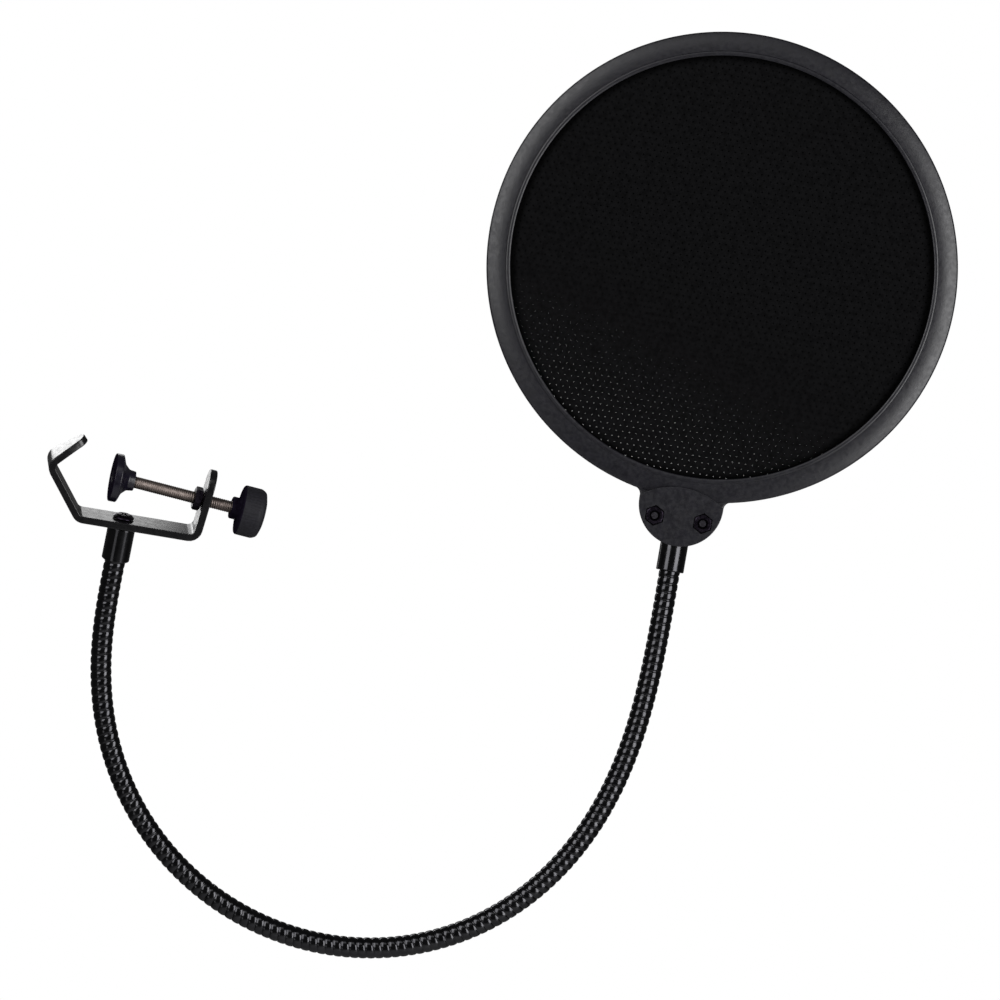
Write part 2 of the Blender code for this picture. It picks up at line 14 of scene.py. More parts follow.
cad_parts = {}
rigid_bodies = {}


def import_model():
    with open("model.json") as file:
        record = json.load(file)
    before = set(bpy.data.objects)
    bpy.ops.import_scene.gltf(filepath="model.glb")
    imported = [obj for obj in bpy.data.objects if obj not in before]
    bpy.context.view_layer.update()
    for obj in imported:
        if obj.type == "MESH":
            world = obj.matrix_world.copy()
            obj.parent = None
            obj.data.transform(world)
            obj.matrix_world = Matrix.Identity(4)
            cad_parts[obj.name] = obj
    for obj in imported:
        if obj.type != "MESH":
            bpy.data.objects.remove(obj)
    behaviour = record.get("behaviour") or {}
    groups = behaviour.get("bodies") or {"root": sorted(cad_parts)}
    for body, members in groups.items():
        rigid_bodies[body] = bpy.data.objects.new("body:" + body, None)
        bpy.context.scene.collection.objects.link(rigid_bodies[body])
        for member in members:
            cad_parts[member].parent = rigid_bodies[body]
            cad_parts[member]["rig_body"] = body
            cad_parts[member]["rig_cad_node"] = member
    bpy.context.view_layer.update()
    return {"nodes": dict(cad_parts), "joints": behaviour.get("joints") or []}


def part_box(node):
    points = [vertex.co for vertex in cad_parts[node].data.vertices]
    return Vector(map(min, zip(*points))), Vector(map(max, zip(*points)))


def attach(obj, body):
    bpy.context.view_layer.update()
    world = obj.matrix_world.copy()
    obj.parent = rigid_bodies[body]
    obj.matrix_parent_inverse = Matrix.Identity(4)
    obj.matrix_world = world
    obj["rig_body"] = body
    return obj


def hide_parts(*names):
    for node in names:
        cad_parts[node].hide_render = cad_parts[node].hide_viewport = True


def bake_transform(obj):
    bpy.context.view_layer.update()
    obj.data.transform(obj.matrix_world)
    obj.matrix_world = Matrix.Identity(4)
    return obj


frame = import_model()

Y, Z = Vector((0, 1, 0)), Vector((0, 0, 1))
RIGHT_ANGLE = math.radians(90)
FULL_TURN = 2 * math.pi
GAP = 0.0003  # between neighbouring CAD solids
MERGE = 0.0000005
SOFT_STEPS = 4

# The camera looks along +Y, straight at the hoop's front.
VIEW_CENTRE = (0.14705, -0.0128)  # X and Z
VIEW_WIDTH = 0.330  # at the hoop
LENS, SENSOR = 1500, 36
FLOOR_AT = -0.55
FLOOR_R = 0.9
FLOOR_FADE = (0.25 * FLOOR_R, 0.95 * FLOOR_R)
AMBIENT = 0.085  # strength of the white surroundings, seen by everything but the camera

# Hoop, each half measured from the plane where the halves meet.
HOOP_STEPS = 288
HOOP_R = 0.0778
HOOP_INNER_R = 0.0699
HOOP_HALF = 0.006
HOOP_EDGE_R = 0.0008
CROWN_TILTS = (math.radians(3), math.radians(22))
CROWN_STEPS = 10
BEAD_R = 0.0008
BEAD_HEIGHT = 0.0004
BEAD_STEPS = 12
POCKET_R = 0.0742
FLANGE_BACK = 0.0037
PARTING = 0.00015
LUG_AT = 0.0793  # from the hoop's centre
LUG_R = 0.014
LUG_FACE = 0.0065
LUG_STEP = 0.0045
LUG_FLOOR = 0.0002
LUG_FILLET = 0.0024
LUG_SOFT = 0.0005  # rounding of the lug's edges
ARCH_R = 0.0233
ARCH_TOP = 0.0737
ARC_STEP = math.radians(4)
EDGE_STEP = math.radians(15)
CUT_PAST = 0.001
COLLAR_AT = 0.0845
COLLAR = 0.0023
COLLAR_R = 0.0048
STEM_R = 0.003
SLEEVE_AT = 0.0898
M3_HOLE_R = 0.0018
NUT_SEAT = 0.0036
HEAD_SEAT = 0.0042

# Screens.
KNIT_PITCH = 0.0022
KNIT_HOLE_R = 0.00027
KNIT_EDGE_R = 0.0724  # a cell further out than this is left off
KNIT_THICK = 0.00024
KNIT_PAINTED_SHADE_R = 0.0672  # painted shade: the cloth's colour is darkened from here to the hoop, standing in for the shadow of the hoop's wall
KNIT_PUCKER = 0.00012
KNIT_SHARP = math.radians(60)
REAR_SLIP = 0.00065  # of the rear lattice at the middle, away from the lug
REAR_LEVEL_AT = 0.150  # how far from the middle the two lattices fall in step
REAR_LEVEL_WAY = math.radians(-105)  # towards there, from the front frame's +X

# Neck and ferrules.
NECK_CREST_R = 0.0035
NECK_GROOVE = 0.00043
NECK_PITCH = 0.00265
NECK_ROWS = 12  # in each turn of the winding
NECK_COLUMNS = 30
NECK_INSERT = 0.0065
BLEND_INSET = 0.0012
NECK_WIRE = 0.98  # share of a turn that the round wire takes up
NECK_SHARP = math.radians(80)  # the grooves are shaded smooth up to here
NECK_END_CORNERS = 16  # of the end face of the neck's CAD
FERRULE_R = 0.0046
FERRULE_BORE = 0.0037
FERRULE_STEPS = 128
FERRULE_SOFT = 0.0006
SLEEVE_SOFT = 0.0005

# Bracket, screws, nuts, pad and knob. SOFT is the rounding of a piece's edges.
BRACKET_SOFT = 0.00035
BRACKET_SHARP = math.radians(40)  # an edge sharper than this is rounded
BRACKET_FLAT = math.radians(2)  # faces that turn less than this become one
M4_R = 0.002
M4_PITCH = 0.0007
M4_THREAD = 0.00014
M3_R = 0.0015
M3_PITCH = 0.0005
M3_THREAD = 0.00026
THREAD_ROWS = 8  # in each turn
THREAD_COLUMNS = 32
THREAD_FLAT = 0.1  # how blunt a thread's crest and root are
THREAD_CHAMFER = 0.0004
THREAD_NUT_FLATS = 0.007
M3_FLATS = 0.0055
NUT_CROWN = 0.95  # share of a nut's flats that its end face takes up
NUT_CLEAR = 0.00005  # so that its corners stay sharp
NUT_CHAMFER = math.radians(30)
NUT_SINK = 0.2  # share of the hole's radius
M3_HEAD_R = 0.00275
M3_HEAD = 0.002
PAD_R = 0.008
PAD_RIM = 0.0025
PAD_NECK_R = 0.0035
PAD_NECK = 0.0022
PAD_FLARE_R = 0.005
PAD_FLARE = 0.0038
PAD_HUB_R = 0.0032
PAD_SOCKET_R = 0.0026
PAD_RECESS_R = 0.0036
PAD_RECESS = 0.0019
PAD_WEB = 0.0022
PAD_BEVEL = 0.0006
PAD_SOFT = 0.0004
RIVET_R = 0.001
KNOB_R = 0.0083
KNOB_HUB = 0.0029
KNOB_HUB_R = 0.0037
KNOB_BORE = 0.0069
KNOB_DOME = 0.0005
KNOB_RIBS = 48
KNOB_RIB = 0.00004
KNOB_RIB_STEPS = 8
KNOB_SOFT = 0.0006
PAN_HEAD_R = 0.0035
PAN_HEAD = 0.0013
HEAD_SOFT = 0.0003
PAN_CROSS = (0.0018, 0.0004)  # half of a slot's length and width
M3_CROSS = (0.0016, 0.0003)
CROSS_DEPTH = 0.001


# Frames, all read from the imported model.
def joint(name):
    return next(j for j in frame["joints"] if j["name"] == name)


def box_centre(node):
    near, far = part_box(node)
    return (near + far) / 2


def vertices(node):
    """The places of a CAD node's vertices, each one once."""
    mesh = frame["nodes"][node].data
    places = np.empty(len(mesh.vertices) * 3)
    mesh.vertices.foreach_get("co", places)
    return np.unique(places.reshape(-1, 3).round(6), axis=0)


def axes(origin, z, y):
    """A frame from its +Z and about where its +Y is."""
    z = Vector(z).normalized()
    x = Vector(y).cross(z).normalized()
    made = Matrix((x, z.cross(x), z)).transposed().to_4x4()
    made.translation = origin
    return made


def shift(x=0, y=0, z=0):
    return Matrix.Translation((x, y, z))


def turn(angle, axis):
    return Matrix.Rotation(angle, 4, axis)


def axis_frame(node, towards):
    """A frame on the axis of a turned CAD node, with +Z the given way."""
    places = vertices(node)
    middle = places.mean(0)
    sizes, directions = np.linalg.eigh(np.cov((places - middle).T))
    lone = 2 if sizes[2] - sizes[1] > sizes[1] - sizes[0] else 0
    z = Vector(directions[:, lone])
    z = z if z.dot(Vector(towards)) > 0 else -z
    return axes(Vector(middle), z, Y if abs(z.y) < 0.9 else Z)


def from_near_end(node, matrix):
    """The frame moved along its +Z to the node's near end, and the node's length."""
    local = matrix.inverted()
    heights = [(local @ Vector(place)).z for place in vertices(node)]
    return matrix @ shift(z=min(heights)), max(heights) - min(heights)


SCREW = axes(Vector(), joint("clamp_travel")["axis"], joint("pad_tilt")["axis"])
HOOP_CENTRE = box_centre("spacer_ring")
HOOP_DOWN = axis_frame("head_ferrule", -Z).translation - HOOP_CENTRE
FRONT = axes(HOOP_CENTRE, -Y, -HOOP_DOWN)
REAR = axes(HOOP_CENTRE, Y, -HOOP_DOWN)
LUG_AXIS = axes(HOOP_CENTRE, HOOP_DOWN, Y)


# Camera, light and floor.
def make_camera():
    data = bpy.data.cameras.new("camera")
    data.lens, data.sensor_width, data.clip_end = LENS, SENSOR, 100
    made = bpy.data.objects.new("camera", data)
    bpy.context.scene.collection.objects.link(made)
    distance = VIEW_WIDTH * LENS / SENSOR
    made.location = (VIEW_CENTRE[0], HOOP_CENTRE.y - distance, VIEW_CENTRE[1])
    made.rotation_euler = (RIGHT_ANGLE, 0, 0)
    bpy.context.scene.camera = made


def make_softbox(name, azimuth, elevation, width, height, radiance, distance=1.0, about=None):
    """An area light that faces the middle of the view, or the place it is about.

    Its azimuth and elevation are in degrees; azimuth 0 is the camera's side and 90 is +X.
    """
    data = bpy.data.lights.new(name, "AREA")
    data.shape = "RECTANGLE"
    data.size, data.size_y = width, height
    data.energy = radiance * math.pi * width * height
    a, e = math.radians(azimuth), math.radians(elevation)
    direction = Vector((math.sin(a) * math.cos(e), -math.cos(a) * math.cos(e), math.sin(e)))
    made = bpy.data.objects.new(name, data)
    middle = Vector((VIEW_CENTRE[0], 0, VIEW_CENTRE[1])) if about is None else about
    made.location = middle + direction * distance
    made.rotation_mode = "QUATERNION"
    made.rotation_quaternion = direction.to_track_quat("Z", "Y")
    made.visible_camera = False
    bpy.context.scene.collection.objects.link(made)


def make_lights():
    """Two tall softboxes, cards that fill the lower and upper sides, and small ones for the clamp."""
    make_softbox("right_softbox", 45, -4, 0.5, 0.9, 5.9)
    make_softbox("left_softbox", -36, 22, 0.5, 0.9, 3.9)
    make_softbox("low_right_card", 45, -40, 0.30, 0.30, 1.3)
    make_softbox("low_left_card", -44, -26, 0.26, 0.30, 1.0)
    make_softbox("top_card", 0, 42, 0.60, 0.35, 1.0)
    clamp = box_centre("clamp_bracket")
    make_softbox("upper_card", 190, 28, 0.20, 0.10, 2.2, 0.35, clamp)
    make_softbox("hook_card", 202, 27, 0.08, 0.10, 2.9, 0.35, clamp)
    make_softbox("ear_card", 195, 4, 0.03, 0.06, 2.0, 0.20, box_centre("thread_nut"))


def add_node(tree, kind, inputs=(), **settings):
    """A shader node with its settings and inputs, where an input is a value or another socket."""
    made = tree.nodes.new(kind)
    for key, value in settings.items():
        setattr(made, key, value)
    for key, value in dict(inputs).items():
        if isinstance(value, bpy.types.NodeSocket):
            tree.links.new(value, made.inputs[key])
        else:
            made.inputs[key].default_value = value
    return made


def ramp(tree, value, from_low, from_high, to_low, to_high):
    made = add_node(
        tree,
        "ShaderNodeMapRange",
        {0: value, 1: from_low, 2: from_high, 3: to_low, 4: to_high},
        interpolation_type="SMOOTHSTEP",
    )
    return made.outputs[0]


def calculate(tree, operation, a, b):
    return add_node(tree, "ShaderNodeMath", {0: a, 1: b}, operation=operation).outputs[0]


def make_world():
    """White for the camera and dim for everything else, so that the softboxes draw the shapes."""
    world = bpy.data.worlds.new("studio")
    bpy.context.scene.world = world
    world.use_nodes = True
    tree = world.node_tree
    tree.nodes.clear()
    straight = add_node(tree, "ShaderNodeLightPath").outputs["Is Camera Ray"]
    strength = calculate(tree, "MAXIMUM", straight, AMBIENT)
    background = add_node(tree, "ShaderNodeBackground", {0: (1, 1, 1, 1), 1: strength})
    output = add_node(tree, "ShaderNodeOutputWorld")
    tree.links.new(background.outputs[0], output.inputs[0])


def make_floor():
    """A pale disc far below, which fades into the background at its edge."""
    mesh = bpy.data.meshes.new("floor")
    work = bmesh.new()
    bmesh.ops.create_circle(work, cap_ends=True, segments=96, radius=FLOOR_R)
    work.to_mesh(mesh)
    work.free()
    made = bpy.data.objects.new("floor", mesh)
    made.location = (VIEW_CENTRE[0], 0, FLOOR_AT)
    bpy.context.scene.collection.objects.link(made)
    look = bpy.data.materials.new("pale_floor")
    look.use_nodes = True
    tree = look.node_tree
    surface = tree.nodes["Principled BSDF"]
    surface.inputs["Roughness"].default_value = 0.9
    place = add_node(tree, "ShaderNodeTexCoord").outputs["Object"]
    away = add_node(tree, "ShaderNodeVectorMath", {0: place}, operation="LENGTH").outputs["Value"]
    cloud = add_node(tree, "ShaderNodeTexNoise", {"Vector": place, "Scale": 3.0}).outputs[0]
    grey = ramp(tree, cloud, 0.3, 0.7, 0.80, 0.84)
    tree.links.new(grey, surface.inputs["Base Color"])
    tree.links.new(ramp(tree, away, *FLOOR_FADE, 1, 0), surface.inputs["Alpha"])
    mesh.materials.append(look)


# Materials.
class Look:
    """A Principled material with colour, roughness and relief from procedural nodes."""

    def __init__(self, name, metallic=0.0, **sockets):
        self.material = bpy.data.materials.new(name)
        self.material.use_nodes = True
        self.tree = self.material.node_tree
        self.surface = self.tree.nodes["Principled BSDF"]
        self.surface.inputs["Metallic"].default_value = metallic
        for key, value in sockets.items():
            self.surface.inputs[key.replace("_", " ")].default_value = value
        self.place = add_node(self.tree, "ShaderNodeTexCoord").outputs["Object"]
        self.normal = None

    def scaled(self, size):
        """The place in units of the given size, in metres."""
        inputs = {0: self.place, "Scale": 1 / size}
        return add_node(self.tree, "ShaderNodeVectorMath", inputs, operation="SCALE").outputs[0]

    def noise(self, size, detail=3.0):
        inputs = {"Vector": self.scaled(size), "Scale": 1.0, "Detail": detail}
        return add_node(self.tree, "ShaderNodeTexNoise", inputs).outputs[0]

    def cells(self, size):
        inputs = {"Vector": self.scaled(size), "Scale": 1.0}
        return add_node(self.tree, "ShaderNodeTexVoronoi", inputs).outputs[0]

    def colour(self, value, low_colour, high_colour, low_at=0.35, high_at=0.65):
        made = add_node(self.tree, "ShaderNodeValToRGB", {0: value})
        stops = ((low_at, low_colour), (high_at, high_colour))
        for stop, (at, colour) in zip(made.color_ramp.elements, stops):
            stop.position = at
            stop.color = (*colour, 1)
        self.tree.links.new(made.outputs[0], self.surface.inputs["Base Color"])

    def roughness(self, value, low_rough, high_rough):
        rough = ramp(self.tree, value, 0.3, 0.7, low_rough, high_rough)
        self.tree.links.new(rough, self.surface.inputs["Roughness"])

    def relief(self, value, depth):
        """Bumps of the given depth, on top of any that the look already has."""
        inputs = {"Height": value, "Distance": depth}
        if self.normal:
            inputs["Normal"] = self.normal
        self.normal = add_node(self.tree, "ShaderNodeBump", inputs).outputs[0]
        self.tree.links.new(self.normal, self.surface.inputs["Normal"])


def make_looks():
    looks = {}

    hoop = Look("hoop_plastic")
    hoop.colour(hoop.noise(0.0022, 5), (0.0045, 0.0042, 0.0068), (0.0075, 0.0071, 0.0108))
    hoop.roughness(hoop.noise(0.0012, 4), 0.31, 0.42)
    hoop.relief(hoop.noise(0.0028, 2), 0.00006)
    hoop.relief(hoop.noise(0.00022, 2), 0.000012)
    looks["hoop"] = hoop.material

    knob = Look("knob_plastic", Specular_IOR_Level=0.25)
    knob.colour(knob.noise(0.0009, 4), (0.0080, 0.0077, 0.0105), (0.0130, 0.0126, 0.0170))
    knob.roughness(knob.noise(0.0006), 0.52, 0.68)
    knob.relief(knob.noise(0.00030, 3), 0.00004)
    looks["knob"] = knob.material

    hub = Look("hub_plastic", Specular_IOR_Level=0.0)
    hub.colour(hub.noise(0.0012, 4), (0.006, 0.004, 0.009), (0.010, 0.008, 0.015))
    hub.roughness(hub.noise(0.0008), 0.40, 0.55)
    hub.relief(hub.noise(0.00030, 3), 0.00003)
    looks["hub"] = hub.material

    pad = Look("pad_plastic")
    pad.colour(pad.noise(0.0016, 4), (0.0035, 0.0028, 0.0075), (0.0065, 0.0052, 0.0130))
    pad.roughness(pad.noise(0.0009), 0.24, 0.34)
    pad.relief(pad.noise(0.0011, 2), 0.00004)
    looks["pad"] = pad.material

    paint = Look("painted_steel")
    paint.colour(paint.noise(0.0035, 5), (0.0025, 0.0024, 0.0030), (0.0050, 0.0048, 0.0055))
    paint.roughness(paint.noise(0.0016, 4), 0.20, 0.28)
    paint.relief(paint.noise(0.0010, 2), 0.000006)
    looks["paint"] = paint.material

    zinc = Look("zinc_steel", metallic=1.0)
    zinc.colour(zinc.noise(0.0012, 5), (0.135, 0.110, 0.100), (0.190, 0.160, 0.146))
    zinc.roughness(zinc.noise(0.0007), 0.42, 0.54)
    zinc.relief(zinc.noise(0.0002, 2), 0.00001)
    looks["zinc"] = zinc.material

    steel = Look("black_steel", metallic=1.0)
    steel.colour(steel.noise(0.0010, 4), (0.016, 0.013, 0.020), (0.032, 0.026, 0.038))
    steel.roughness(steel.noise(0.0006), 0.24, 0.40)
    steel.relief(steel.noise(0.00025, 2), 0.00001)
    looks["steel"] = steel.material

    bolt = Look("bolt_steel", metallic=1.0)
    bolt.colour(bolt.noise(0.0008, 4), (0.035, 0.033, 0.040), (0.055, 0.052, 0.060))
    bolt.roughness(bolt.noise(0.0005), 0.34, 0.50)
    bolt.relief(bolt.noise(0.00025, 2), 0.00001)
    looks["bolt"] = bolt.material

    gloss = Look("black_chrome", metallic=1.0)
    gloss.colour(gloss.noise(0.003, 4), (0.035, 0.035, 0.038), (0.048, 0.048, 0.051))
    gloss.roughness(gloss.noise(0.0010, 4), 0.11, 0.19)
    gloss.relief(gloss.noise(0.0008, 2), 0.000004)
    looks["gloss"] = gloss.material

    knit = Look("screen_knit", Specular_IOR_Level=0.05)
    # painted shade: the cloth's colour darkens towards the hoop, standing in for the shadow that the
    # hoop's inner wall casts on it; the noise is the cloth's own uneven tone
    distance = add_node(
        knit.tree, "ShaderNodeVectorMath", {0: knit.place, 1: HOOP_CENTRE}, operation="DISTANCE"
    ).outputs["Value"]
    painted_shade = ramp(knit.tree, distance, KNIT_PAINTED_SHADE_R, HOOP_INNER_R, 1, 0.2)
    tone_and_painted_shade = calculate(knit.tree, "MULTIPLY", knit.noise(0.0015, 4), painted_shade)
    knit.colour(tone_and_painted_shade, (0.0004, 0.0004, 0.0005), (0.0042, 0.0042, 0.0046), 0.1, 0.6)
    knit.roughness(knit.noise(0.0005), 0.82, 0.95)
    knit.relief(knit.cells(0.00022), 0.00006)
    looks["knit"] = knit.material
    return looks


# Shapes.
def add_object(name, mesh, matrix):
    made = bpy.data.objects.new(name, mesh)
    bpy.context.scene.collection.objects.link(made)
    made.matrix_world = matrix
    return made


def to_object(name, work, matrix):
    """An object from a finished bmesh, with its normals turned outwards."""
    bmesh.ops.recalc_face_normals(work, faces=work.faces)
    mesh = bpy.data.meshes.new(name)
    work.to_mesh(mesh)
    work.free()
    return add_object(name, mesh, matrix)


def shade(made, sharp=math.radians(30)):
    made.data.shade_smooth()
    made.data.set_sharp_from_angle(angle=sharp)
    weighted = made.modifiers.new("even_shading", "WEIGHTED_NORMAL")
    weighted.keep_sharp = True
    return made


def bake(made):
    """Replaces an object's mesh by what its modifiers make of it."""
    depsgraph = bpy.context.evaluated_depsgraph_get()
    mesh = bpy.data.meshes.new_from_object(made.evaluated_get(depsgraph))
    made.modifiers.clear()
    made.data = mesh
    return made


def combine(made, operation, *others):
    """An exact Boolean with each of the other objects, which are then removed."""
    for other in others:
        change = made.modifiers.new(other.name, "BOOLEAN")
        change.operation, change.object, change.solver = operation, other, "EXACT"
    bpy.context.view_layer.update()
    bake(made)
    for other in others:
        bpy.data.objects.remove(other)
    return made


def arc(centre, radius, start, end, step=ARC_STEP):
    steps = max(1, math.ceil(abs(end - start) / step - 0.01))  # a hair over a step adds none
    angles = [start + (end - start) * i / steps for i in range(steps + 1)]
    return [(centre[0] + radius * math.cos(a), centre[1] + radius * math.sin(a)) for a in angles]


def ring(radius, corners=48, centre=(0, 0), start=0.0):
    angles = [start + FULL_TURN * i / corners for i in range(corners)]
    return [(centre[0] + radius * math.cos(a), centre[1] + radius * math.sin(a)) for a in angles]


def hexagon(flats, centre=(0, 0)):
    return ring(flats / math.sqrt(3), 6, centre, RIGHT_ANGLE)


def soften(profile, radius, closed=False):
    """The profile with every corner rounded that isn't on the axis or an open profile's end."""
    points = [Vector(point) for point in profile]
    made = []
    for i, point in enumerate(points):
        if point.x == 0 or (not closed and i in (0, len(points) - 1)):
            made.append(point)
            continue
        before = points[i - 1] - point
        after = points[(i + 1) % len(points)] - point
        reach = min(radius, 0.45 * before.length, 0.45 * after.length)  # neighbours never meet
        start = point + before.normalized() * reach
        end = point + after.normalized() * reach
        for k in range(SOFT_STEPS + 1):
            t = k / SOFT_STEPS
            made.append(start * (1 - t) ** 2 + point * 2 * t * (1 - t) + end * t**2)
    return [(point.x, point.y) for point in made]


def lathe(name, profile, matrix, steps=96, closed=False, shape=None):
    """A turned shape from (radius, height) points. shape(angles, radius, height) may vary a radius."""
    work = bmesh.new()
    angles = np.arange(steps) / steps * FULL_TURN
    rows = []
    for radius, height in profile:
        if radius == 0:
            rows.append([work.verts.new((0, 0, height))])
            continue
        radii = shape(angles, radius, height) if shape else np.full(steps, radius)
        row = zip(radii * np.cos(angles), radii * np.sin(angles))
        rows.append([work.verts.new((x, y, height)) for x, y in row])
    for near, far in zip(rows, rows[1:] + rows[:1] if closed else rows[1:]):
        for i in range(steps):
            j = (i + 1) % steps
            corners = (near[i % len(near)], near[j % len(near)], far[j % len(far)], far[i % len(far)])
            work.faces.new(list(dict.fromkeys(corners)))
    return to_object(name, work, matrix)


def plate(name, outline, low, high, matrix, soft=0.0):
    """A flat piece between two heights, with its edges rounded inside its outline."""
    curve = bpy.data.curves.new(name, "CURVE")
    curve.dimensions, curve.fill_mode = "2D", "BOTH"
    curve.extrude = (high - low) / 2 - soft
    curve.bevel_depth, curve.offset, curve.bevel_resolution = soft, -soft, 2
    spline = curve.splines.new("POLY")
    spline.points.add(len(outline) - 1)
    spline.use_cyclic_u = True
    for point, (x, y) in zip(spline.points, outline):
        point.co = (x, y, 0, 1)
    drawn = add_object(name, curve, Matrix())
    bpy.context.view_layer.update()
    depsgraph = bpy.context.evaluated_depsgraph_get()
    mesh = bpy.data.meshes.new_from_object(drawn.evaluated_get(depsgraph))
    bpy.data.objects.remove(drawn)
    work = bmesh.new()
    work.from_mesh(mesh)
    bmesh.ops.remove_doubles(work, verts=work.verts, dist=MERGE)
    return to_object(name, work, matrix @ shift(z=(low + high) / 2))


def wound_rod(name, path, low, high, radius_at, pitch, rows, columns, matrix):
    """A rod whose rows follow a right-hand winding, cut flat at both ends."""
    step = pitch / rows
    first = math.floor(low / step) - rows
    last = math.ceil(high / step) + rows
    j = np.arange(first, last + 1)[:, None]
    i = np.arange(columns)[None, :]
    along = np.clip(j * step + pitch * i / columns, low, high)
    angle = i / columns * FULL_TURN + 0 * along
    radius = radius_at((along / pitch - i / columns) % 1, along)
    centre, across, up = path(along)
    points = centre + radius[..., None] * (
        across * np.cos(angle)[..., None] + up * np.sin(angle)[..., None]
    )
    work = bmesh.new()
    verts = [[work.verts.new(point) for point in row] for row in points]
    for a in range(len(verts) - 1):
        for b in range(columns):
            wraps = b == columns - 1
            c, d = (a + rows, 0) if wraps else (a, b + 1)
            if c + 1 < len(verts):
                work.faces.new((verts[a][b], verts[c][d], verts[c + 1][d], verts[a + 1][b]))
    bmesh.ops.remove_doubles(work, verts=work.verts, dist=MERGE)
    loose = [vert for vert in work.verts if not vert.link_faces]
    bmesh.ops.delete(work, geom=loose, context="VERTS")
    rim = [edge for edge in work.edges if edge.is_boundary]
    bmesh.ops.holes_fill(work, edges=rim, sides=0)
    return to_object(name, work, matrix)


def straight(along):
    """The path of a rod along its own +Z."""
    nothing = 0 * along
    centre = np.stack((nothing, nothing, along), -1)
    return centre, np.array((1.0, 0, 0)), np.array((0, 1.0, 0))


def thread(radius, depth, low, high):
    """A function for the radius of a V thread with chamfered ends, from its phase and place."""

    def radius_at(phase, along):
        slope = (1 + 2 * THREAD_FLAT) * np.abs(2 * phase - 1)
        flank = np.clip(slope - THREAD_FLAT, 0, 1)
        tip = radius - THREAD_CHAMFER
        ends = tip + np.minimum(along - low, high - along)
        return np.minimum(radius - depth * flank, np.maximum(ends, tip))

    return radius_at


def screw_rod(name, radius, pitch, depth, low, high, matrix):
    radius_at = thread(radius, depth, low, high)
    grid = (THREAD_ROWS, THREAD_COLUMNS)
    return wound_rod(name, straight, low, high, radius_at, pitch, *grid, matrix)


def hex_nut(name, flats, height, hole, matrix):
    """A hexagon nut with turned corners and a countersunk hole."""
    made = plate(name, hexagon(flats), 0, height, matrix)
    corner = flats / math.sqrt(3) + NUT_CLEAR
    crown = NUT_CROWN * flats / 2
    drop = (corner - crown) * math.tan(NUT_CHAMFER)
    blank = [(0, 0), (crown, 0), (corner, drop), (corner, height - drop), (crown, height), (0, height)]
    sink = hole * NUT_SINK
    bore = [
        (0, -sink),
        (hole + 2 * sink, -sink),
        (hole, sink),
        (hole, height - sink),
        (hole + 2 * sink, height + sink),
        (0, height + sink),
    ]
    combine(made, "INTERSECT", lathe(f"{name}_blank", blank, matrix))
    return combine(made, "DIFFERENCE", lathe(f"{name}_bore", bore, matrix))


def cut_cross(made, at, half_length, half_width):
    """Cuts a cross recess into a screw's head, whose top is at the frame's origin."""
    slot = [
        (-half_length, -half_width),
        (half_length, -half_width),
        (half_length, half_width),
        (-half_length, half_width),
    ]
    cuts = []
    for quarter in (1, 3):
        tilted = at @ turn(quarter * RIGHT_ANGLE / 2, "Z")
        cuts.append(plate(f"{made.name}_slot_{quarter}", slot, -CUT_PAST, CROSS_DEPTH, tilted))
    return combine(made, "DIFFERENCE", *cuts)


def add_piece(made, body, look, node):
    """Gives a piece its material and its body, and hides the CAD node that it stands for."""
    made.data.transform(made.matrix_world)
    made.matrix_world = Matrix()
    made.data.materials.clear()
    made.data.materials.append(look)
    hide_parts(node)
    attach(made, body)


def second_look(made, look, at, height):
    """Gives the faces below a height in the given frame a second material."""
    made.data.materials.append(look)
    local = at.inverted()
    for face in made.data.polygons:
        face.material_index = int((local @ face.center).z < height)


# Clamp.
def make_bracket(looks):
    """The CAD bracket with rounded edges."""
    bracket = frame["nodes"]["clamp_bracket"].copy()
    bracket.data = bracket.data.copy()
    bracket.name = "bracket"
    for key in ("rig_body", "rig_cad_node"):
        del bracket[key]
    bracket.parent = None
    bpy.context.scene.collection.objects.link(bracket)
    work = bmesh.new()
    work.from_mesh(bracket.data)
    bmesh.ops.remove_doubles(work, verts=work.verts, dist=MERGE)
    bmesh.ops.dissolve_limit(
        work,
        angle_limit=BRACKET_FLAT,
        verts=work.verts,
        edges=work.edges,
        use_dissolve_boundaries=False,
    )
    work.to_mesh(bracket.data)
    work.free()
    rounding = bracket.modifiers.new("rounded_edges", "BEVEL")
    rounding.width, rounding.segments = BRACKET_SOFT, 3
    rounding.limit_method, rounding.angle_limit = "ANGLE", BRACKET_SHARP
    rounding.use_clamp_overlap = False
    bake(bracket)
    shade(bracket)
    add_piece(bracket, "clamp", looks["paint"], "clamp_bracket")


def make_clamp_screw(looks):
    """The threaded nut in the ear and the screw through it."""
    at, length = from_near_end("thread_nut", SCREW)
    nut = shade(hex_nut("ear_nut", THREAD_NUT_FLATS, length, M4_R + GAP / 3, at))
    add_piece(nut, "clamp", looks["steel"], "thread_nut")

    at, length = from_near_end("clamp_screw", SCREW)
    screw = shade(screw_rod("clamping_screw", M4_R, M4_PITCH, M4_THREAD, 0, length, at))
    add_piece(screw, "screw", looks["zinc"], "clamp_screw")


